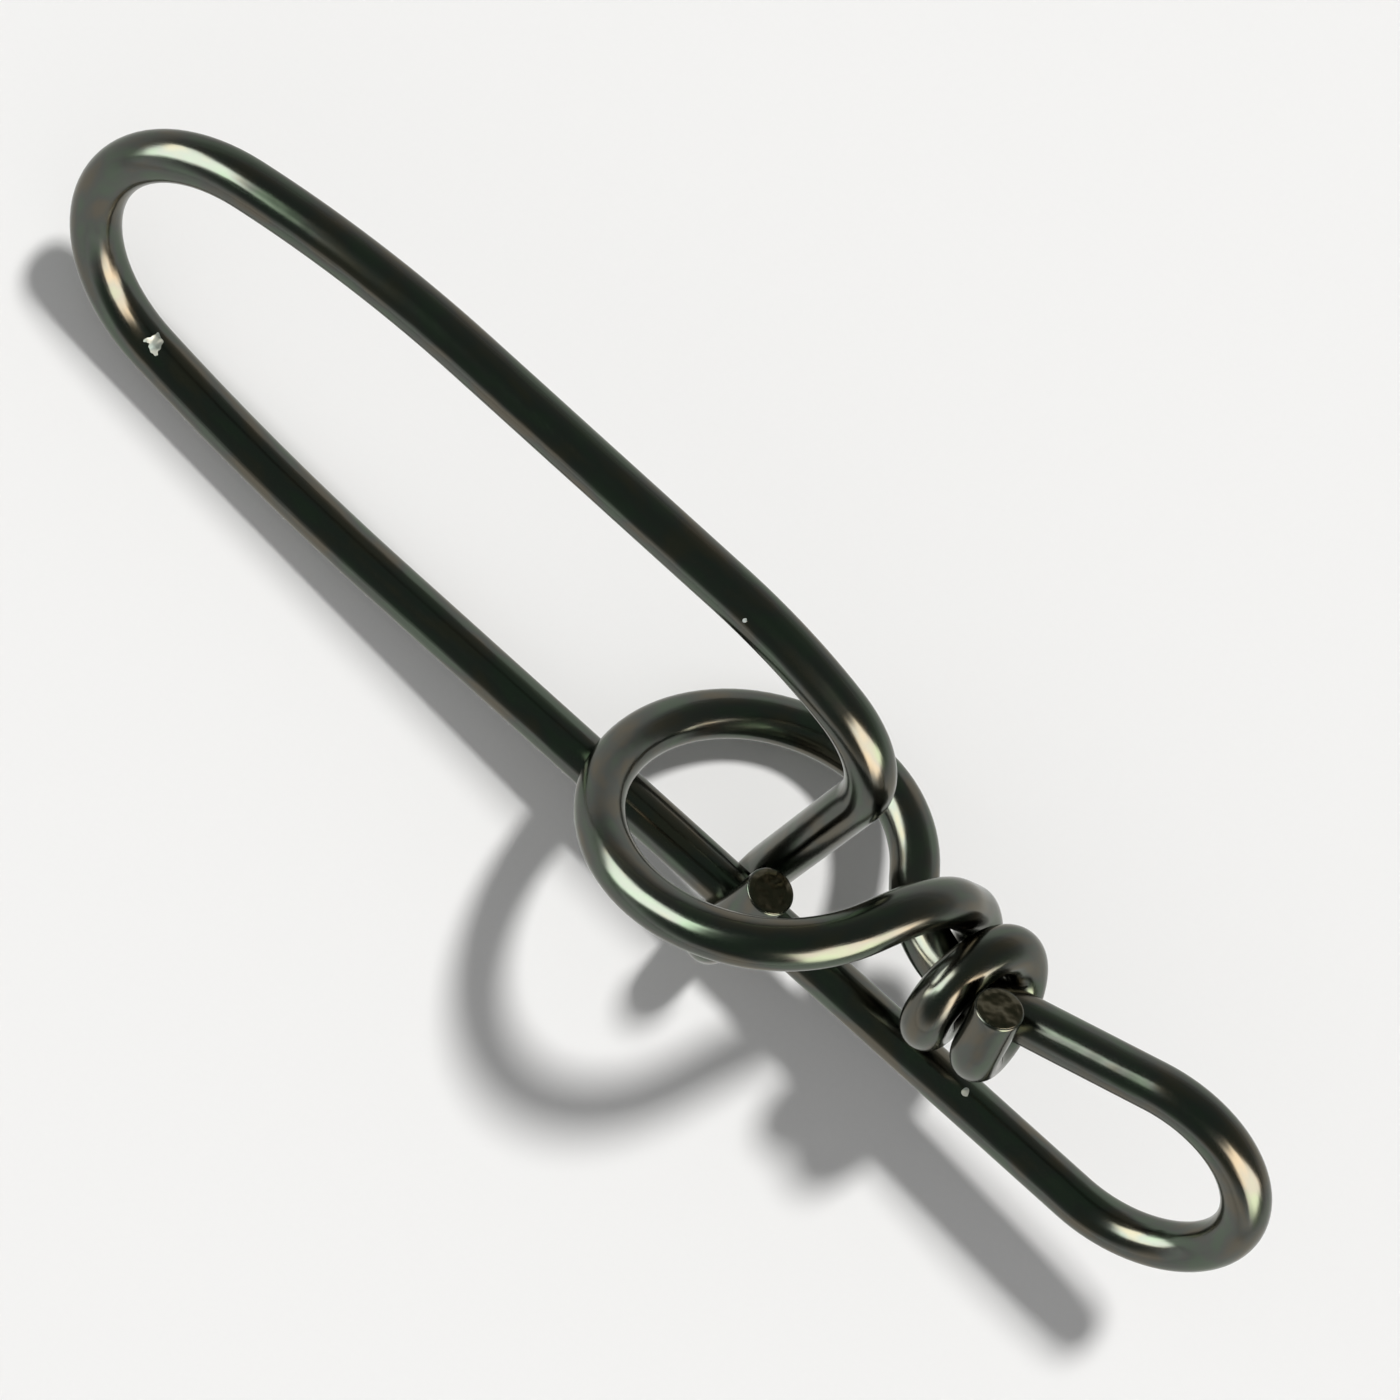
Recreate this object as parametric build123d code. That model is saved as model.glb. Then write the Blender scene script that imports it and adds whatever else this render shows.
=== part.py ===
# Pike snap: one spring wire bent into a bail, an arm whose hooked end closes round the shank, a line eye,
# and a lock ring that the hooked end passes through. The ring's end is wound on the eye's leg.
# Lengths are in millimetres and turns in degrees. The wire is laid out in its own bending frame first:
# X along the shank from the bail to the eye, Y from the shank to the arm, Z square to the clip's flat.
import os
from math import acos, asin, ceil, cos, radians, sin, tan

import numpy as np
from build123d import *

# Wire
wire_d = 1.2

# Shank, bail and arm
shank_run = 22.0
ease_r = 46.0
ease_deg = 9.7
bail_r = 3.6
bail_deg = 155.3
bow_r = 24.0
dip_r = 14.0
dip_deg = 15.0

# Cross arm and hook
corner_r = 2.55
corner_lead = 0.05
cross_ahead = 0.5
hook_gap = 0.03
hook_deg = 186.0
tip_height = 3.0

# Line eye and its leg
eye_r = 2.85
eye_deg = 205.0
leg_run = 6.46

# Lock ring: its plane stands nearly square to the flat, and its wire climbs like one turn of a coil
ring_r = 4.03
ring_yaw_deg = 21.6
ring_lean_deg = 2.7
ring_pitch = 2.8
ring_rise = 1.0
ring_offset = 0.25
ring_from_deg = -62.0
ring_to_deg = -356.0
ring_corners = 6

# Knot: the ring's end wound on the leg
wrap_gap = 0.1
wrap_space = 0.2
wrap_back = 0.55
wrap_lean_deg = 11.0
wrap_from_deg = 148.0
wrap_to_deg = 700.0
wrap_corners = 12
tag_run = 1.5

# Building
bend_step_deg = 60.0
same_point = 1e-6
sample_step = 0.4
most_rolls = 200
view_deg = 53.0
outward = Vector(0, 0, 1)


def heading_way(heading):
    return Vector(cos(radians(heading)), sin(radians(heading)), 0)


def flat_bend(point, heading, radius, turn):
    # A bend in the clip's flat, as equal corners of at most bend_step_deg each, with its end and new heading
    count = ceil(abs(turn) / bend_step_deg)
    share = turn / count
    reach = radius * tan(radians(abs(share) / 2))
    corners = []
    for _ in range(count):
        point += heading_way(heading) * reach
        corners.append((point, radius))
        heading += share
        point += heading_way(heading) * reach
    return corners, point, heading


def turn_at(before, corner, after):
    cosine = (corner - before).normalized().dot((after - corner).normalized())
    return acos(max(-1.0, min(1.0, cosine)))


def rounded(corners):
    # Straight runs and tangent arcs through the corners. A corner is a point and its radius, and a corner
    # with no radius gets the largest arc that its two runs leave room for.
    points = [corner[0] for corner in corners]
    last = len(points) - 1
    turns = {i: turn_at(*points[i - 1:i + 2]) for i in range(1, last)}
    fixed = {i: corners[i][1] * tan(turns[i] / 2) for i in turns if corners[i][1]}

    def room(i, neighbour):
        run = (points[i] - points[neighbour]).length
        if neighbour in (0, last):
            return run
        return run - fixed[neighbour] if neighbour in fixed else run / 2

    edges = []
    here = points[0]
    for i in turns:
        reach = fixed.get(i) or min(room(i, i - 1), room(i, i + 1))
        radius = reach / tan(turns[i] / 2)
        back = (points[i - 1] - points[i]).normalized()
        onward = (points[i + 1] - points[i]).normalized()
        start = points[i] + back * reach
        middle = points[i] + (back + onward).normalized() * (radius / cos(turns[i] / 2) - radius)
        if (start - here).length > same_point:
            edges.append(Edge.make_line(here, start))
            here = start
        end = points[i] + onward * reach
        edges.append(Edge.make_three_point_arc(here, middle, end))
        here = end
    edges.append(Edge.make_line(here, points[last]))
    return edges


def eye_corners():
    # From the shank's end round to the leg
    return flat_bend(Vector(shank_run, 0, 0), 0.0, eye_r, eye_deg)


def leg_place():
    # Where the leg starts at the eye, its way down from there, and where it bends into the ring
    _, top, heading = eye_corners()
    way = heading_way(heading)
    return top, way, top + way * leg_run


def ring_frame():
    # The ring's centre and its three ways: along the ring's width, out of the flat, and square to the ring
    width = heading_way(ring_yaw_deg)
    square = heading_way(ring_yaw_deg + 90)
    depth = outward * cos(radians(ring_lean_deg)) + square * sin(radians(ring_lean_deg))
    climb = square * cos(radians(ring_lean_deg)) - outward * sin(radians(ring_lean_deg))
    foot = leg_place()[2]
    centre = foot - width * ring_r + square * ring_rise + outward * ring_offset
    return centre, width, depth, climb


def ring_points():
    centre, width, depth, climb = ring_frame()
    share = (ring_from_deg - ring_to_deg) / ring_corners
    reach = ring_r / cos(radians(share / 2))
    points = []
    for i in range(ring_corners + 1):
        angle = radians(ring_from_deg - share * i)
        spoke = width * cos(angle) + depth * sin(angle)
        points.append(centre + spoke * reach + climb * (ring_pitch * share * i / 360))
    return points


def knot_points():
    # Wraps in parallel planes, whose centres step up the core's own centre line
    top, way, foot = leg_place()
    leg, bend = rounded([(top, None), (foot, None)] + [(point, None) for point in ring_points()])[:2]
    axis = way * cos(radians(wrap_lean_deg)) - outward * sin(radians(wrap_lean_deg))
    over = (outward - axis * outward.dot(axis)).normalized()
    beside = axis.cross(over)
    share = (wrap_to_deg - wrap_from_deg) / wrap_corners
    reach = (wire_d + wrap_gap) / cos(radians(share / 2))
    points = []
    for i in range(wrap_corners + 2):
        angle = radians(wrap_from_deg + share * i)
        down_leg = leg_run - wrap_back - (wire_d + wrap_space) * share * i / 360
        if down_leg < leg.length:
            core = top + way * down_leg
        else:
            core = bend @ ((down_leg - leg.length) / bend.length)
        points.append(core + (over * cos(angle) + beside * sin(angle)) * reach)
    # The tag end runs on straight from the last wrap
    corner = points[-2]
    onward = (points[-1] - corner).normalized()
    half_run = (points[-3] - corner).length / 2
    points[-1] = corner + onward * (half_run + tag_run)
    return points


def arm_corners():
    # Bail, bowed arm and dip, then the corner over the place where the arm crosses the ring. The cross arm
    # slants a little out of the flat, so its corner reaches further than in the flat: the lead covers that.
    ease, point, heading = flat_bend(Vector(0, 0, 0), 180.0, ease_r, -ease_deg)
    bail, point, heading = flat_bend(point, heading, bail_r, -bail_deg)
    bow, point, heading = flat_bend(point, heading, bow_r, ease_deg + bail_deg - 180)
    corner_reach = corner_r * tan(radians(90 - dip_deg) / 2) + corner_lead
    cross_x = ring_frame()[0].X + cross_ahead
    dip_length = dip_r * sin(radians(dip_deg)) + corner_reach * cos(radians(dip_deg))
    arm_run = cross_x - dip_length - point.X
    dip, point, heading = flat_bend(point + Vector(arm_run, 0, 0), heading, dip_r, -dip_deg)
    corner = point + heading_way(heading) * corner_reach
    return ease + bail + bow + dip + [(corner, corner_r)], corner


def hook_corners(corner):
    # The cross arm passes behind the shank, turns round it and comes up in front, as far as its cut tip
    coil_r = wire_d + hook_gap
    slant = asin(coil_r / corner.Y)
    way = Vector(0, -cos(slant), -sin(slant))
    spoke = Vector(0, sin(slant), -cos(slant))
    count = ceil(hook_deg / bend_step_deg)
    share = radians(hook_deg / count)
    point = Vector(corner.X, 0, 0) + spoke * coil_r
    corners = []
    for _ in range(count):
        point += way * coil_r * tan(share / 2)
        corners.append((point, coil_r))
        old_way = way
        way = way * cos(share) - spoke * sin(share)
        spoke = spoke * cos(share) + old_way * sin(share)
        point += way * coil_r * tan(share / 2)
    tip = point + way * ((tip_height - point.Y) / way.Y)
    return corners, tip


def wire_route():
    arm, corner = arm_corners()
    hook, tip = hook_corners(corner)
    tag_side = [(point, None) for point in reversed([leg_place()[2]] + ring_points() + knot_points())]
    eye = list(reversed(eye_corners()[0]))
    return rounded(tag_side + eye + arm + hook + [(tip, None)])


def sampled(edges):
    # Points along the wire's centre line, and its centre of weight
    points = []
    weights = []
    for edge in edges:
        count = ceil(edge.length / sample_step)
        points += [tuple(edge @ ((i + 0.5) / count)) for i in range(count)]
        weights += [edge.length / count] * count
    points = np.array(points)
    return points, np.average(points, axis=0, weights=weights)


def over_edge(points, centre, up, feet):
    # The two feet whose line the centre of weight stands beyond, or none where the three feet carry it
    for start, end, other in (feet, feet[1:] + feet[:1], feet[2:] + feet[:2]):
        outward_way = np.cross(points[end] - points[start], up)
        if (points[other] - points[start]) @ outward_way > 0:
            outward_way = -outward_way
        if (centre - points[start]) @ outward_way > 0:
            return [start, end]
    return []


def resting_up(edges):
    # The way up once the wire lies still. It starts with the arm's side on top, touches the floor at its
    # lowest point, and rolls toward its centre of weight, foot by foot, until three feet carry it.
    points, centre = sampled(edges)
    up = np.array([0, sin(radians(view_deg)), cos(radians(view_deg))])
    feet = [int(np.argmin(points @ up))]
    for _ in range(most_rolls):
        foot = points[feet[0]]
        side = centre - foot - up * ((centre - foot) @ up)
        if len(feet) == 2:
            line = (points[feet[1]] - foot) / np.linalg.norm(points[feet[1]] - foot)
            side = side - line * (side @ line)
        side = side / np.linalg.norm(side)
        rolls = np.arctan2(np.maximum((points - foot) @ up, 0), (points - foot) @ side)
        rolls[feet] = np.pi
        touching = int(np.argmin(rolls))
        up = up * cos(rolls[touching]) - side * sin(rolls[touching])
        feet.append(touching)
        if len(feet) == 3:
            feet = over_edge(points, centre, up, feet)
        if not feet:
            break
    return Vector(*up)


def laid_down(wire, edges):
    up = resting_up(edges)
    flat = Plane(origin=(0, 0, 0), x_dir=(Vector(1, 0, 0) - up * up.X).normalized(), z_dir=up)
    laid = flat.to_local_coords(wire)
    box = laid.bounding_box()
    return Pos(-box.center().X, -box.center().Y, -box.min.Z) * laid


edges = wire_route()
route = Wire(edges)
section = Plane(origin=route @ 0, z_dir=route % 0) * Circle(wire_d / 2)
wire = sweep(section, path=route).solid()
print("wire length", round(route.length, 2), "volume", round(wire.volume, 3),
      "section times length", round(section.face().area * route.length, 3))

os.makedirs("parts", exist_ok=True)
export_step(laid_down(wire, edges), "parts/snap_wire.step")
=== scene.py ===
# Pike snap in black nickel: the looks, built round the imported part.
# Dictionaries give sizes in millimetres and turns in degrees, and Blender gets metres.
import math

import bpy
import numpy as np
from mathutils import Matrix, Vector


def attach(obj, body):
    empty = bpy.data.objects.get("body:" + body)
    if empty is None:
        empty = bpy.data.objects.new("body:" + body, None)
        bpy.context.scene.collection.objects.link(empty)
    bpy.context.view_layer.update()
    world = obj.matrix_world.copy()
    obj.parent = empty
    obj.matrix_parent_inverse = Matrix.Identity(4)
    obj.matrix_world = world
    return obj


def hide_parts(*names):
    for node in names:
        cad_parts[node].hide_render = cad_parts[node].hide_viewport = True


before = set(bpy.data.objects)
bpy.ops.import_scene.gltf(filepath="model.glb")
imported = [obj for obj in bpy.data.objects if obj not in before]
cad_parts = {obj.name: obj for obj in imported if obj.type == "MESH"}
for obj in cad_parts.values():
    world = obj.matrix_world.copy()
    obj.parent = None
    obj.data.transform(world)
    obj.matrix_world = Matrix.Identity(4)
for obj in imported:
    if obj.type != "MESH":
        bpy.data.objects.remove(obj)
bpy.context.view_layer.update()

mm = 0.001
print("frame loaded:", sorted(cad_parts))


def srgb(code, alpha=1.0):
    # a hex colour as it looks on screen, turned into the linear values that shaders take
    values = [int(code[i:i + 2], 16) / 255 for i in (1, 3, 5)]
    return [v / 12.92 if v <= 0.04045 else ((v + 0.055) / 1.055) ** 2.4 for v in values] + [alpha]


def addNode(tree, kind, settings=None, inputs=None, **fixed):
    # a node with its settings; inputs go by name or number and are other nodes' sockets or plain values,
    # and a fixed one can be written as a word
    node = tree.nodes.new(kind)
    for name, value in (settings or {}).items():
        setattr(node, name, value)
    for name, value in fixed.items():
        node.inputs[name.replace("_", " ")].default_value = value
    for name, value in (inputs or {}).items():
        if isinstance(value, bpy.types.NodeSocket):
            tree.links.new(value, node.inputs[name])
        else:
            node.inputs[name].default_value = value
    return node


# settings that many nodes share
times = {"operation": "MULTIPLY"}
timesPlus = {"operation": "MULTIPLY_ADD"}
larger = {"operation": "MAXIMUM"}
mixColours = {"data_type": "RGBA"}
smoothly = {"interpolation_type": "SMOOTHSTEP"}


# The wire as it is bent. Its bending frame has X along the shank from the bail to the eye, Y from the
# shank to the arm, and Z square to the clip's flat.
wire = {
    "thickness": 1.2,
    "shankRun": 22.0, "easeRadius": 46.0, "easeTurn": 9.7,
    "bailRadius": 3.6, "bailTurn": 155.3, "bowRadius": 24.0,
    "dipRadius": 14.0, "dipTurn": 15.0,
    "cornerRadius": 2.55, "cornerLead": 0.05, "crossAhead": 0.5,
    "hookGap": 0.03, "hookTurn": 186.0, "tipHeight": 3.0,
    "eyeRadius": 2.85, "eyeTurn": 205.0, "legRun": 6.46,
    "bendStep": 60.0,       # most that one corner turns
    "shortest": 1e-4,       # a straight run shorter than this is only rounding
}
ring = {
    "radius": 4.03, "yaw": 21.6, "lean": 2.7, "pitch": 2.8, "rise": 1.0, "offset": 0.25,
    "fromAngle": -62.0, "toAngle": -356.0, "corners": 6,
}
knot = {
    "coreGap": 0.1, "space": 0.2, "back": 0.55, "lean": 11.0,
    "fromAngle": 148.0, "toAngle": 700.0, "corners": 12, "tagRun": 1.5,
}
outward = Vector((0, 0, 1))


def headingWay(heading):
    return Vector((math.cos(math.radians(heading)), math.sin(math.radians(heading)), 0))


def flatBend(point, heading, radius, turn):
    # one bend in the flat, as equal corners, with its end and new heading
    count = math.ceil(abs(turn) / wire["bendStep"])
    share = turn / count
    reach = radius * math.tan(math.radians(abs(share) / 2))
    corners = []
    for _ in range(count):
        point = point + headingWay(heading) * reach
        corners.append((point, radius))
        heading += share
        point = point + headingWay(heading) * reach
    return corners, point, heading


def straightRun(start, end):
    return (end - start).length, 0.0, lambda t: start.lerp(end, t)


def arcRun(start, corner, end, radius, turn):
    # the arc from start to end whose tangents meet at the corner
    middle = ((start - corner).normalized() + (end - corner).normalized()).normalized()
    hub = corner + middle * (radius / math.cos(turn / 2))
    first = (start - hub) / radius
    second = (end - hub - first * (end - hub).dot(first)).normalized()

    def at(t):
        return hub + (first * math.cos(t * turn) + second * math.sin(t * turn)) * radius

    return radius * turn, turn, at


def rounded(corners):
    # straight runs and tangent arcs through the corners; a corner with no radius gets the largest arc
    # that its two runs leave room for
    points = [corner[0] for corner in corners]
    last = len(points) - 1
    turns = {i: (points[i] - points[i - 1]).angle(points[i + 1] - points[i]) for i in range(1, last)}
    fixed = {i: corners[i][1] * math.tan(turns[i] / 2) for i in turns if corners[i][1]}

    def spare(i, neighbour):
        # length that the neighbouring corner leaves free
        run = (points[i] - points[neighbour]).length
        if neighbour in (0, last):
            return run
        return run - fixed[neighbour] if neighbour in fixed else run / 2

    runs = []
    here = points[0]
    for i in turns:
        reach = fixed.get(i) or min(spare(i, i - 1), spare(i, i + 1))
        start = points[i] + (points[i - 1] - points[i]).normalized() * reach
        end = points[i] + (points[i + 1] - points[i]).normalized() * reach
        if (start - here).length > wire["shortest"]:
            runs.append(straightRun(here, start))
        runs.append(arcRun(start, points[i], end, reach / math.tan(turns[i] / 2), turns[i]))
        here = end
    runs.append(straightRun(here, points[last]))
    return runs


def eyeBend():
    return flatBend(Vector((wire["shankRun"], 0, 0)), 0.0, wire["eyeRadius"], wire["eyeTurn"])


def legPlace():
    _, top, heading = eyeBend()
    way = headingWay(heading)
    return top, way, top + way * wire["legRun"]


def ringFrame():
    width = headingWay(ring["yaw"])
    square = headingWay(ring["yaw"] + 90)
    lean = math.radians(ring["lean"])
    depth = outward * math.cos(lean) + square * math.sin(lean)
    climb = square * math.cos(lean) - outward * math.sin(lean)
    centre = legPlace()[2] - width * ring["radius"] + square * ring["rise"] + outward * ring["offset"]
    return centre, width, depth, climb


def ringPoints():
    centre, width, depth, climb = ringFrame()
    share = (ring["fromAngle"] - ring["toAngle"]) / ring["corners"]
    reach = ring["radius"] / math.cos(math.radians(share / 2))
    points = []
    for i in range(ring["corners"] + 1):
        angle = math.radians(ring["fromAngle"] - share * i)
        spoke = width * math.cos(angle) + depth * math.sin(angle)
        points.append(centre + spoke * reach + climb * (ring["pitch"] * share * i / 360))
    return points


def knotPoints():
    # wraps in parallel planes whose centres step up the core, then the straight tag end
    top, way, foot = legPlace()
    leg, bend = rounded([(top, None), (foot, None)] + [(point, None) for point in ringPoints()])[:2]
    lean = math.radians(knot["lean"])
    axis = way * math.cos(lean) - outward * math.sin(lean)
    over = (outward - axis * outward.dot(axis)).normalized()
    beside = axis.cross(over)
    share = (knot["toAngle"] - knot["fromAngle"]) / knot["corners"]
    reach = (wire["thickness"] + knot["coreGap"]) / math.cos(math.radians(share / 2))
    step = (wire["thickness"] + knot["space"]) * share / 360
    points = []
    for i in range(knot["corners"] + 2):
        angle = math.radians(knot["fromAngle"] + share * i)
        downLeg = wire["legRun"] - knot["back"] - step * i
        core = top + way * downLeg if downLeg < leg[0] else bend[2]((downLeg - leg[0]) / bend[0])
        points.append(core + (over * math.cos(angle) + beside * math.sin(angle)) * reach)
    onward = (points[-1] - points[-2]).normalized()
    points[-1] = points[-2] + onward * ((points[-3] - points[-2]).length / 2 + knot["tagRun"])
    return points


def armCorners():
    ease, point, heading = flatBend(Vector((0, 0, 0)), 180.0, wire["easeRadius"], -wire["easeTurn"])
    bail, point, heading = flatBend(point, heading, wire["bailRadius"], -wire["bailTurn"])
    bowTurn = wire["easeTurn"] + wire["bailTurn"] - 180
    bow, point, heading = flatBend(point, heading, wire["bowRadius"], bowTurn)
    cornerReach = wire["cornerRadius"] * math.tan(math.radians(90 - wire["dipTurn"]) / 2)
    cornerReach += wire["cornerLead"]
    dip = math.radians(wire["dipTurn"])
    dipLength = wire["dipRadius"] * math.sin(dip) + cornerReach * math.cos(dip)
    armRun = ringFrame()[0].x + wire["crossAhead"] - dipLength - point.x
    start = point + Vector((armRun, 0, 0))
    dipBend, point, heading = flatBend(start, heading, wire["dipRadius"], -wire["dipTurn"])
    corner = point + headingWay(heading) * cornerReach
    return ease + bail + bow + dipBend + [(corner, wire["cornerRadius"])], corner


def hookCorners(corner):
    # the cross arm passes behind the shank, turns round it and comes up in front to its cut tip
    coil = wire["thickness"] + wire["hookGap"]
    slant = math.asin(coil / corner.y)
    way = Vector((0, -math.cos(slant), -math.sin(slant)))
    spoke = Vector((0, math.sin(slant), -math.cos(slant)))
    count = math.ceil(wire["hookTurn"] / wire["bendStep"])
    share = math.radians(wire["hookTurn"] / count)
    point = Vector((corner.x, 0, 0)) + spoke * coil
    corners = []
    for _ in range(count):
        point = point + way * coil * math.tan(share / 2)
        corners.append((point, coil))
        oldWay = way.copy()
        way = way * math.cos(share) - spoke * math.sin(share)
        spoke = spoke * math.cos(share) + oldWay * math.sin(share)
        point = point + way * coil * math.tan(share / 2)
    return corners, point + way * ((wire["tipHeight"] - point.y) / way.y)


def wireRuns():
    arm, corner = armCorners()
    hook, tip = hookCorners(corner)
    tagSide = [(point, None) for point in reversed([legPlace()[2]] + ringPoints() + knotPoints())]
    return rounded(tagSide + list(reversed(eyeBend()[0])) + arm + hook + [(tip, None)])


# How the wire lies: it touches the floor at its lowest point and rolls toward its centre of weight, foot
# by foot, until three feet carry it.
rest = {"viewTilt": 53.0, "sampleStep": 0.4, "mostRolls": 200}


def overEdge(points, centre, up, feet):
    for start, end, other in (feet, feet[1:] + feet[:1], feet[2:] + feet[:2]):
        beyond = np.cross(points[end] - points[start], up)
        if (points[other] - points[start]) @ beyond > 0:
            beyond = -beyond
        if (centre - points[start]) @ beyond > 0:
            return [start, end]
    return []


def restingUp(runs):
    points = []
    weights = []
    for length, _, at in runs:
        count = math.ceil(length / rest["sampleStep"])
        points += [at((i + 0.5) / count) for i in range(count)]
        weights += [length / count] * count
    points = np.array(points)
    centre = np.average(points, axis=0, weights=weights)
    tilt = math.radians(rest["viewTilt"])
    up = np.array([0, math.sin(tilt), math.cos(tilt)])
    feet = [int(np.argmin(points @ up))]
    for _ in range(rest["mostRolls"]):
        foot = points[feet[0]]
        side = centre - foot - up * ((centre - foot) @ up)
        if len(feet) == 2:
            line = (points[feet[1]] - foot) / np.linalg.norm(points[feet[1]] - foot)
            side = side - line * (side @ line)
        side = side / np.linalg.norm(side)
        rolls = np.arctan2(np.maximum((points - foot) @ up, 0), (points - foot) @ side)
        rolls[feet] = np.pi
        touching = int(np.argmin(rolls))
        up = up * math.cos(rolls[touching]) - side * math.sin(rolls[touching])
        feet.append(touching)
        if len(feet) == 3:
            feet = overEdge(points, centre, up, feet)
        if not feet:
            break
    return Vector(up).normalized()


mesh = {
    "longestStep": 0.3,     # between rings of faces along the wire
    "bendTurn": 4.0,        # most that one ring of faces turns from the last
    "roundPoints": 48,      # faces round the wire
    # distance from the cut end and share of the full section: the edge rolled over, then the flat face
    "endRings": ((0.15, 1.0), (0.07, 0.996), (0.035, 0.984), (0.016, 0.962), (0.006, 0.93), (0.004, 0.905),
                 (0.003, 0.7), (0.002, 0.48), (0.001, 0.26), (0.0, 0.04)),
    "cutShares": (0.93, 0.9),   # shares of the section between which plate gives way to bare cut face
}


def centreLine(runs):
    # points along the whole wire, in the bending frame
    points = [runs[0][2](0.0)]
    for length, turn, at in runs:
        byTurn = math.degrees(turn) / mesh["bendTurn"]
        count = max(1, math.ceil(length / mesh["longestStep"]), math.ceil(byTurn))
        points += [at((i + 1) / count) for i in range(count)]
    return points


runs = wireRuns()
linePoints = centreLine(runs)
up = restingUp(runs)
along = (Vector((1, 0, 0)) - up * up.x).normalized()
turnToRest = Matrix((along, up.cross(along), up))
laid = [turnToRest @ point for point in linePoints]
low = [min(p[i] for p in laid) for i in range(3)]
high = [max(p[i] for p in laid) for i in range(3)]
halfWire = wire["thickness"] / 2
# the part's origin is the middle of its box, on the floor
shift = Vector((-(low[0] + high[0]) / 2, -(low[1] + high[1]) / 2, halfWire - low[2]))


def placed(point):
    # from the bending frame in millimetres to the part's own frame in metres
    return (turnToRest @ point + shift) * mm


print("wire laid down,", len(linePoints), "points,", round(sum(run[0] for run in runs), 2), "mm long")

# The camera's place is the photograph's. Its angles are taken from the shank's line and the clip's flat.
view = {
    "tilt": 53.0, "lean": -3.462, "roll": 42.062,
    "distance": 96.0, "focalPixels": 4199.64, "imagePixels": 1400,
    "target": (7.12, 4.74, 0.0), "sensor": 36.0, "nearest": 1.0, "farthest": 10000.0,
    "fineSteps": 8,         # points looked at between two of the centre line's, where a pixel is traced
}


def makeCamera():
    tilt, lean, roll = (math.radians(view[name]) for name in ("tilt", "lean", "roll"))
    toCamera = Vector((math.sin(lean), math.sin(tilt) * math.cos(lean), math.cos(tilt) * math.cos(lean)))
    level = (Vector((1, 0, 0)) - toCamera * toCamera.x).normalized()
    square = toCamera.cross(level)
    right = level * math.cos(roll) + square * math.sin(roll)
    down = level * math.sin(roll) - square * math.cos(roll)
    data = bpy.data.cameras.new("photoCamera")
    data.sensor_width = view["sensor"]
    data.lens = view["focalPixels"] / view["imagePixels"] * view["sensor"]
    data.clip_start = view["nearest"] * mm
    data.clip_end = view["farthest"] * mm
    camera = bpy.data.objects.new("photoCamera", data)
    bpy.context.scene.collection.objects.link(camera)
    axes = [turnToRest @ way for way in (right, -down, toCamera)]
    spot = placed(Vector(view["target"]) + toCamera * view["distance"])
    camera.matrix_world = Matrix.Translation(spot) @ Matrix(axes).transposed().to_4x4()
    bpy.context.scene.camera = camera
    return camera


camera = makeCamera()
bpy.context.view_layer.update()


def surfaceUnder(pixel):
    # the first point of the wire's skin that the photograph's pixel looks at
    centre = np.array(camera.matrix_world.translation) / mm
    axes = np.array(camera.matrix_world.to_3x3())
    half = view["imagePixels"] / 2
    way = axes @ np.array([pixel[0] - half, half - pixel[1], -view["focalPixels"]])
    way = way / np.linalg.norm(way)
    spine = np.array([placed(point) for point in linePoints]) / mm - centre
    steps = np.linspace(0, 1, view["fineSteps"], endpoint=False)
    fine = np.concatenate([spine[:-1] + (spine[1:] - spine[:-1]) * step for step in steps])
    depth = fine @ way
    inside = halfWire ** 2 - ((fine ** 2).sum(1) - depth ** 2)
    hit = np.where(inside > 0, depth - np.sqrt(np.maximum(inside, 0)), np.inf).min()
    return Vector(centre + way * hit) * mm


# Black nickel over hard-drawn steel wire: a dark, polished metal whose grey drifts between green and brown,
# over the faint lengthwise lines that the drawing die leaves. The plate's slight unevenness breaks the edges
# of its reflections. Widths, lengths, grains and depths are in millimetres.
blackNickel = {
    "green": "#515a4f", "middle": "#525450", "brown": "#5b574d", "edge": "#e2e2de",
    "tintWidth": 0.5882, "tintLength": 1.4286, "tintStops": (0.38, 0.5, 0.64),
    "roughness": 0.2, "roughnessSpread": 0.1,
    "lineWidth": 0.125, "lineLength": 4.0, "lineDetail": 3.0, "lineDepth": 0.004,
    "peelWidth": 0.625, "peelLength": 1.4286, "peelDepth": 0.014,
    "cutColour": "#4d493b", "cutRoughness": 0.1, "cutGrain": 0.6667, "cutDepth": 0.26,
}
# small chips where the plating has flaked and pale nickel shows: pixel in the photograph and size in mm
chips = {
    "bail": {"pixel": (155, 344), "size": 0.2},
    "shank": {"pixel": (965, 1092), "size": 0.09},
    "arm": {"pixel": (745, 620), "size": 0.06},
    "colour": "#cdd3d0", "roughness": 0.25, "depth": 0.02, "ragged": 0.7, "raggedGrain": 0.25,
}


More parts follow.
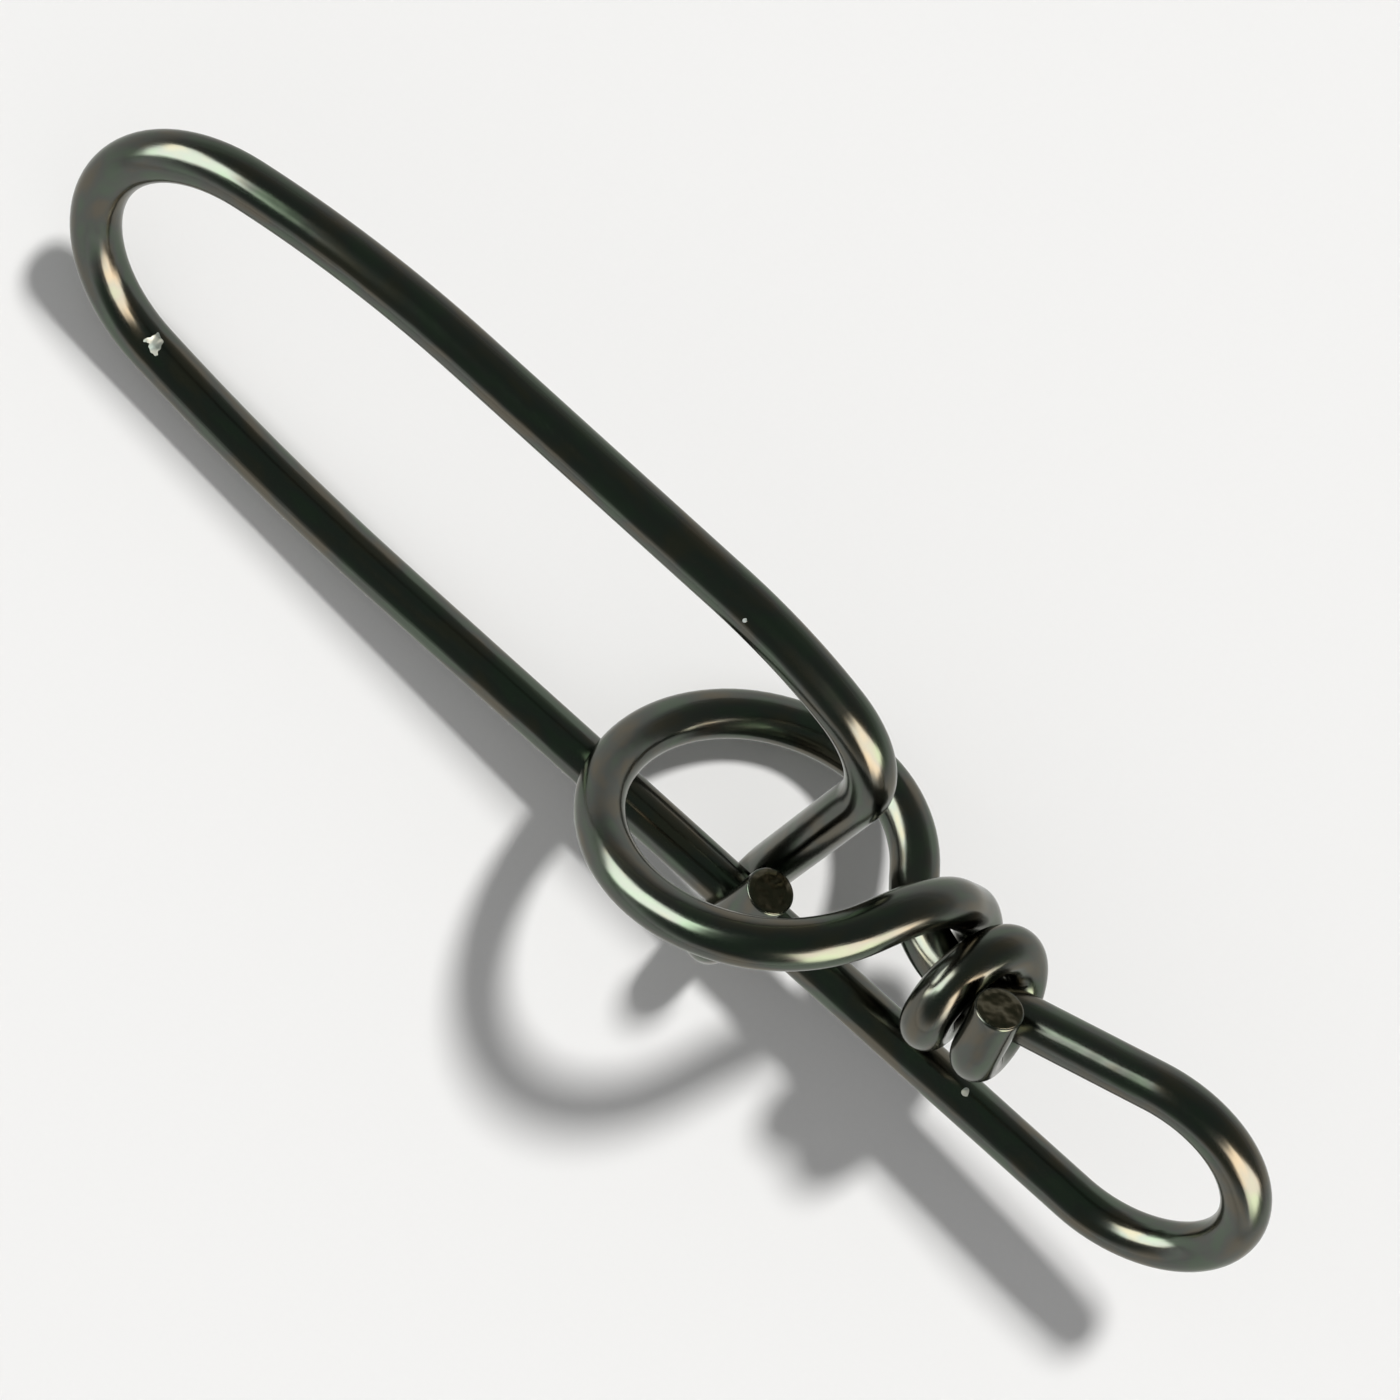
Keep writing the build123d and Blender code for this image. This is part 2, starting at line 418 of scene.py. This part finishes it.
def chipMask(tree, place):
    # 1 on the bare chips, whose edges are ragged, and 0 elsewhere
    wobble = addNode(tree, "ShaderNodeTexNoise", inputs={"Vector": place},
                     Scale=1 / (chips["raggedGrain"] * mm), Detail=1.0).outputs[0]
    mask = 0.0
    for name in ("bail", "shank", "arm"):
        size = chips[name]["size"] * mm
        gap = addNode(tree, "ShaderNodeVectorMath", {"operation": "DISTANCE"}, {
            0: place, 1: surfaceUnder(chips[name]["pixel"])}).outputs["Value"]
        # the noise lies round a half, where the chip has its plain size
        edge = addNode(tree, "ShaderNodeMath", timesPlus, {
            0: wobble, 1: 4 * chips["ragged"] * size, 2: (1 - 2 * chips["ragged"]) * size}).outputs[0]
        inside = addNode(tree, "ShaderNodeMath", {"operation": "LESS_THAN"}, {0: gap, 1: edge}).outputs[0]
        mask = addNode(tree, "ShaderNodeMath", larger, {0: inside, 1: mask}).outputs[0]
    return mask


def stretchedNoise(tree, straight, width, length, detail=2.0):
    # noise on the straightened wire, with grains of this width and length
    drawn = addNode(tree, "ShaderNodeMapping", inputs={"Vector": straight},
                    Scale=(1 / width, 1 / width, 1 / length))
    return addNode(tree, "ShaderNodeTexNoise", inputs={"Vector": drawn.outputs[0]}, Scale=1.0,
                   Detail=detail).outputs[0]


def makeBlackNickel():
    material = bpy.data.materials.new("blackNickelPlate")
    material.use_nodes = True
    tree = material.node_tree
    shader = tree.nodes["Principled BSDF"]
    shader.inputs["Metallic"].default_value = 1.0
    shader.inputs["Specular Tint"].default_value = srgb(blackNickel["edge"])
    place = addNode(tree, "ShaderNodeTexCoord").outputs["Object"]
    # straightened wire: across its section in X and Y, along it in Z, all in millimetres
    straight = addNode(tree, "ShaderNodeAttribute", {"attribute_name": "wireCoord"}).outputs["Vector"]
    cut = addNode(tree, "ShaderNodeAttribute", {"attribute_name": "cutFace"}).outputs["Fac"]
    chipped = chipMask(tree, place)

    drift = stretchedNoise(tree, straight, blackNickel["tintWidth"], blackNickel["tintLength"])
    ramp = addNode(tree, "ShaderNodeValToRGB", inputs={"Fac": drift})
    stops = ramp.color_ramp.elements
    stops[0].position, middle, stops[1].position = blackNickel["tintStops"]
    stops[0].color, stops[1].color = srgb(blackNickel["green"]), srgb(blackNickel["brown"])
    stops.new(middle).color = srgb(blackNickel["middle"])
    withCuts = addNode(tree, "ShaderNodeMix", mixColours, {
        0: cut, 6: ramp.outputs[0], 7: srgb(blackNickel["cutColour"])})
    withChips = addNode(tree, "ShaderNodeMix", mixColours, {
        0: chipped, 6: withCuts.outputs[2], 7: srgb(chips["colour"])})
    tree.links.new(withChips.outputs[2], shader.inputs["Base Color"])

    lines = stretchedNoise(tree, straight, blackNickel["lineWidth"], blackNickel["lineLength"],
                           blackNickel["lineDetail"])
    spread = blackNickel["roughnessSpread"]
    rough = blackNickel["roughness"] - spread / 2
    for where, more in ((lines, spread), (cut, blackNickel["cutRoughness"]), (chipped, chips["roughness"])):
        rough = addNode(tree, "ShaderNodeMath", timesPlus, {0: where, 1: more, 2: rough}).outputs[0]
    tree.links.new(rough, shader.inputs["Roughness"])

    # heights in metres: drawing lines, soft unevenness of the plate, torn cut faces, sunken chips
    peel = stretchedNoise(tree, straight, blackNickel["peelWidth"], blackNickel["peelLength"])
    grain = stretchedNoise(tree, straight, blackNickel["cutGrain"], blackNickel["cutGrain"])
    bare = addNode(tree, "ShaderNodeMath", larger, {0: cut, 1: chipped}).outputs[0]
    torn = addNode(tree, "ShaderNodeMath", times, {0: grain, 1: bare}).outputs[0]
    height = 0.0
    for form, depth in ((lines, blackNickel["lineDepth"]), (peel, blackNickel["peelDepth"]),
                        (torn, blackNickel["cutDepth"]), (chipped, -chips["depth"])):
        height = addNode(tree, "ShaderNodeMath", timesPlus, {0: form, 1: depth * mm, 2: height}).outputs[0]
    bump = addNode(tree, "ShaderNodeBump", inputs={"Height": height}, Strength=1.0, Distance=1.0)
    tree.links.new(bump.outputs[0], shader.inputs["Normal"])
    return material


def makeWireTree(material):
    # Geometry Nodes: the round wire along its centre line, its ends rolled over by the cutters
    tree = bpy.data.node_groups.new("platedWire", "GeometryNodeTree")
    sockets = tree.interface
    sockets.new_socket("Centre Line", in_out="INPUT", socket_type="NodeSocketGeometry")
    sockets.new_socket("Wire Radius", in_out="INPUT", socket_type="NodeSocketFloat")
    sockets.new_socket("Round Points", in_out="INPUT", socket_type="NodeSocketInt")
    sockets.new_socket("Wire", in_out="OUTPUT", socket_type="NodeSocketGeometry")
    given = addNode(tree, "NodeGroupInput")
    radius = addNode(tree, "GeometryNodeInputRadius")
    length = addNode(tree, "GeometryNodeSplineParameter")
    circle = addNode(tree, "GeometryNodeCurvePrimitiveCircle", inputs={
        "Resolution": given.outputs["Round Points"], "Radius": given.outputs["Wire Radius"]})
    # the straightened place of each point, kept before the sweep
    alongWire = addNode(tree, "GeometryNodeStoreNamedAttribute", {"data_type": "FLOAT"}, {
        "Geometry": given.outputs["Centre Line"], "Value": length.outputs["Length"]}, Name="alongWire")
    shrink = addNode(tree, "GeometryNodeStoreNamedAttribute", {"data_type": "FLOAT"}, {
        "Geometry": alongWire.outputs[0], "Value": radius.outputs[0]}, Name="shrink")
    section = addNode(tree, "GeometryNodeInputPosition")
    aroundWire = addNode(tree, "GeometryNodeStoreNamedAttribute", {"data_type": "FLOAT_VECTOR"}, {
        "Geometry": circle.outputs[0], "Value": section.outputs[0]}, Name="aroundWire")
    sweep = addNode(tree, "GeometryNodeCurveToMesh", inputs={
        "Curve": shrink.outputs[0], "Profile Curve": aroundWire.outputs[0], "Scale": radius.outputs[0]},
        Fill_Caps=True)
    readAlong = addNode(tree, "GeometryNodeInputNamedAttribute", {"data_type": "FLOAT"}, Name="alongWire")
    readAround = addNode(tree, "GeometryNodeInputNamedAttribute", {"data_type": "FLOAT_VECTOR"},
                         Name="aroundWire")
    readShrink = addNode(tree, "GeometryNodeInputNamedAttribute", {"data_type": "FLOAT"}, Name="shrink")
    scaled = addNode(tree, "ShaderNodeVectorMath", {"operation": "SCALE"}, {
        0: readAround.outputs[0], "Scale": readShrink.outputs[0]})
    parts = addNode(tree, "ShaderNodeSeparateXYZ", inputs={0: scaled.outputs[0]})
    whole = addNode(tree, "ShaderNodeCombineXYZ", inputs={
        0: parts.outputs[0], 1: parts.outputs[1], 2: readAlong.outputs[0]})
    inMm = addNode(tree, "ShaderNodeVectorMath", {"operation": "SCALE"}, {0: whole.outputs[0]},
                   Scale=1 / mm)
    coords = addNode(tree, "GeometryNodeStoreNamedAttribute", {"data_type": "FLOAT_VECTOR"}, {
        "Geometry": sweep.outputs[0], "Value": inMm.outputs[0]}, Name="wireCoord")
    # the cut face is where the section has shrunk, from the rolled edge inwards
    plated, bare = mesh["cutShares"]
    cut = addNode(tree, "ShaderNodeMapRange", inputs={"Value": readShrink.outputs[0]},
                  From_Min=plated, From_Max=bare)
    stored = addNode(tree, "GeometryNodeStoreNamedAttribute", {"data_type": "FLOAT"}, {
        "Geometry": coords.outputs[0], "Value": cut.outputs[0]}, Name="cutFace")
    smooth = addNode(tree, "GeometryNodeSetShadeSmooth", inputs={"Geometry": stored.outputs[0]})
    real = addNode(tree, "GeometryNodeRealizeInstances", inputs={"Geometry": smooth.outputs[0]})
    finish = addNode(tree, "GeometryNodeSetMaterial", inputs={"Geometry": real.outputs[0]},
                     Material=material)
    addNode(tree, "NodeGroupOutput", inputs={"Wire": finish.outputs[0]})
    return tree


def withEnds(points):
    # the centre line with the rings of both cut ends, as points and section shares
    rings = mesh["endRings"]
    inner = [(p, 1.0) for p in points
             if (p - points[0]).length > rings[0][0] and (p - points[-1]).length > rings[0][0]]
    ends = []
    for tip, before in ((points[0], points[1]), (points[-1], points[-2])):
        way = (before - tip).normalized()
        ends.append([(tip + way * setback, share) for setback, share in reversed(rings)])
    return ends[0] + inner + list(reversed(ends[1]))


def makeWire(material):
    stations = withEnds(linePoints)
    data = bpy.data.curves.new("wireLine", "CURVE")
    data.dimensions = "3D"
    spline = data.splines.new("POLY")
    spline.points.add(len(stations) - 1)
    for point, (spot, share) in zip(spline.points, stations):
        point.co = (*placed(spot), 1)
        point.radius = share
    line = bpy.data.objects.new("wireLine", data)
    bpy.context.scene.collection.objects.link(line)
    bend = line.modifiers.new("platedWire", "NODES")
    bend.node_group = makeWireTree(material)
    names = {item.name: item.identifier for item in bend.node_group.interface.items_tree}
    bend[names["Wire Radius"]] = halfWire * mm
    bend[names["Round Points"]] = mesh["roundPoints"]
    bpy.context.view_layer.update()
    seen = line.evaluated_get(bpy.context.evaluated_depsgraph_get())
    piece = bpy.data.objects.new("snapWire", bpy.data.meshes.new_from_object(seen))
    bpy.data.objects.remove(line)
    bpy.context.scene.collection.objects.link(piece)
    return piece


nickel = makeBlackNickel()
snapWire = makeWire(nickel)
print("wire made:", len(snapWire.data.polygons), "faces in", snapWire.data.materials[0].name)
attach(snapWire, "root")
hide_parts("snap_wire")

# The floor: matt white card. In the metal it shows as a small card on a darker table, as in the photograph,
# and most of that is evenly bright, without the clip's own shadow.
# Painted reflection: for glossy rays the floor glows as a bright card fading to a darker table, most of it
# without the clip's shadow.
floorCard = {
    "size": 1200.0, "colour": "#ededed", "roughness": 0.9, "sheen": 0.2,
    "paintedCardReflection": "#f8f8f8", "paintedTableReflection": "#747472", "paintedReflectionStrength": 1.15,
    "paintedReflectionCentre": (14.0, -44.0, 0.0), "paintedReflectionFade": (42.0, 88.0), "paintedReflectionShare": 0.75,
}


def makeFloor():
    half = floorCard["size"] / 2 * mm
    corners = [(-half, -half, 0), (half, -half, 0), (half, half, 0), (-half, half, 0)]
    data = bpy.data.meshes.new("floorCard")
    data.from_pydata(corners, [], [(0, 1, 2, 3)])
    floor = bpy.data.objects.new("floorCard", data)
    bpy.context.scene.collection.objects.link(floor)
    material = bpy.data.materials.new("whiteCard")
    material.use_nodes = True
    tree = material.node_tree
    shader = tree.nodes["Principled BSDF"]
    shader.inputs["Base Color"].default_value = srgb(floorCard["colour"])
    shader.inputs["Roughness"].default_value = floorCard["roughness"]
    shader.inputs["Specular IOR Level"].default_value = floorCard["sheen"]
    gap = addNode(tree, "ShaderNodeVectorMath", {"operation": "DISTANCE"}, {
        0: addNode(tree, "ShaderNodeTexCoord").outputs["Object"],
        1: Vector(floorCard["paintedReflectionCentre"]) * mm}).outputs["Value"]
    inner, outer = floorCard["paintedReflectionFade"]
    off = addNode(tree, "ShaderNodeMapRange", smoothly, {"Value": gap},
                  From_Min=inner * mm, From_Max=outer * mm).outputs[0]
    # the painted reflection: the glow that glossy rays see in place of most of the lit floor
    seen = addNode(tree, "ShaderNodeMix", mixColours, {
        0: off, 6: srgb(floorCard["paintedCardReflection"]), 7: srgb(floorCard["paintedTableReflection"])}).outputs[2]
    glow = addNode(tree, "ShaderNodeEmission", inputs={"Color": seen}, Strength=floorCard["paintedReflectionStrength"])
    inMetal = addNode(tree, "ShaderNodeLightPath").outputs["Is Glossy Ray"]
    even = addNode(tree, "ShaderNodeMath", times, {0: inMetal, 1: floorCard["paintedReflectionShare"]}).outputs[0]
    both = addNode(tree, "ShaderNodeMixShader", inputs={0: even, 1: shader.outputs[0], 2: glow.outputs[0]})
    tree.links.new(both.outputs[0], tree.nodes["Material Output"].inputs["Surface"])
    data.materials.append(material)


makeFloor()

# The key lamp lights the card and casts the shadow, from the photograph's upper right. It has an azimuth and
# an elevation, its size in degrees as the clip sees it, and the brightness of its face, where 1 is white.
keyLamp = {"from": (96.0, 47.0), "size": 7.0, "bright": 275.0, "colour": "#fffefc", "distance": 20000.0}


def makeKeyLamp():
    azimuth, elevation = (math.radians(angle) for angle in keyLamp["from"])
    level = math.cos(elevation)
    toLamp = Vector((math.cos(azimuth) * level, math.sin(azimuth) * level, math.sin(elevation)))
    distance = keyLamp["distance"] * mm
    data = bpy.data.lights.new("keyLamp", "AREA")
    data.shape = "DISK"
    data.size = 2 * distance * math.tan(math.radians(keyLamp["size"] / 2))
    data.energy = keyLamp["bright"] * math.pi * math.pi * (data.size / 2) ** 2
    data.color = srgb(keyLamp["colour"])[:3]
    lamp = bpy.data.objects.new("keyLamp", data)
    bpy.context.scene.collection.objects.link(lamp)
    lamp.location = toLamp * distance
    lamp.rotation_mode = "QUATERNION"
    lamp.rotation_quaternion = toLamp.to_track_quat("Z", "Y")
    lamp.visible_glossy = False
    lamp.visible_camera = False


makeKeyLamp()

# The room. The metal sees dark surroundings, two softboxes, one greenish and one cream, and a low pale
# window in front; the card gets an even fill; and the camera sees a pale wall. Angles are in degrees.
room = {
    "wall": "#f2f2f2", "fill": "#9a9a9a",
    "surroundings": ((0, "#96988f"), (14, "#787c76"), (34, "#68716b"), (65, "#5f6b63")),
}
softboxes = {
    "greenish": {"azimuth": -166.0, "width": 48.0, "elevation": (4.0, 55.0), "edge": 5.0,
                 "colour": "#fbfff6", "bright": 9.6},
    "cream": {"azimuth": -9.0, "width": 54.0, "elevation": (8.0, 58.0), "edge": 5.0,
              "colour": "#fff0e0", "bright": 9.6},
    "window": {"azimuth": -80.0, "width": 110.0, "elevation": (-20.0, 14.0), "edge": 14.0,
               "colour": "#ffffff", "bright": 1.25},
}


def softboxMask(tree, way, elevation, box):
    # 1 inside the softbox and 0 outside, with soft edges
    turned = addNode(tree, "ShaderNodeVectorRotate", {"rotation_type": "Z_AXIS"}, {"Vector": way},
                     Angle=math.radians(-box["azimuth"]))
    parts = addNode(tree, "ShaderNodeSeparateXYZ", inputs={0: turned.outputs[0]}).outputs
    turn = addNode(tree, "ShaderNodeMath", {"operation": "ARCTAN2"}, {0: parts["Y"], 1: parts["X"]})
    aside = addNode(tree, "ShaderNodeMath", {"operation": "ABSOLUTE"}, {0: turn.outputs[0]}).outputs[0]
    half, edge = box["width"] / 2, box["edge"]
    bottom, top = box["elevation"]
    mask = 1.0
    for angle, dark, bright in ((aside, half + edge / 2, half - edge / 2),
                                (elevation, bottom - edge / 2, bottom + edge / 2),
                                (elevation, top + edge, top - edge)):
        side = addNode(tree, "ShaderNodeMapRange", smoothly, {"Value": angle},
                       From_Min=math.radians(dark), From_Max=math.radians(bright)).outputs[0]
        mask = addNode(tree, "ShaderNodeMath", times, {0: mask, 1: side}).outputs[0]
    return mask


def makeRoom():
    world = bpy.data.worlds.new("studioRoom")
    bpy.context.scene.world = world
    world.use_nodes = True
    tree = world.node_tree
    way = addNode(tree, "ShaderNodeTexCoord").outputs["Generated"]
    parts = addNode(tree, "ShaderNodeSeparateXYZ", inputs={0: way}).outputs
    elevation = addNode(tree, "ShaderNodeMath", {"operation": "ARCSINE"}, {0: parts["Z"]}).outputs[0]
    # the colour ramp runs from the horizon to straight up
    rise = addNode(tree, "ShaderNodeMath", {"operation": "DIVIDE"}, {0: elevation, 1: math.radians(90)})
    ramp = addNode(tree, "ShaderNodeValToRGB", inputs={"Fac": rise.outputs[0]})
    stops = ramp.color_ramp.elements
    stops.remove(stops[1])
    for i, (angle, colour) in enumerate(room["surroundings"]):
        stop = stops.new(angle / 90) if i else stops[0]
        stop.color = srgb(colour)
    inMetal = ramp.outputs[0]
    for box in softboxes.values():
        glow = [value * box["bright"] for value in srgb(box["colour"])]
        inMetal = addNode(tree, "ShaderNodeMix", mixColours, {
            0: softboxMask(tree, way, elevation, box), 6: inMetal, 7: glow}).outputs[2]
    rays = addNode(tree, "ShaderNodeLightPath").outputs
    lit = addNode(tree, "ShaderNodeMix", mixColours, {
        0: rays["Is Glossy Ray"], 6: srgb(room["fill"]), 7: inMetal}).outputs[2]
    seen = addNode(tree, "ShaderNodeMix", mixColours, {
        0: rays["Is Camera Ray"], 6: lit, 7: srgb(room["wall"])}).outputs[2]
    tree.links.new(seen, tree.nodes["Background"].inputs["Color"])


makeRoom()
bpy.context.scene.view_settings.view_transform = "Standard"
print("floor, lights and room made")
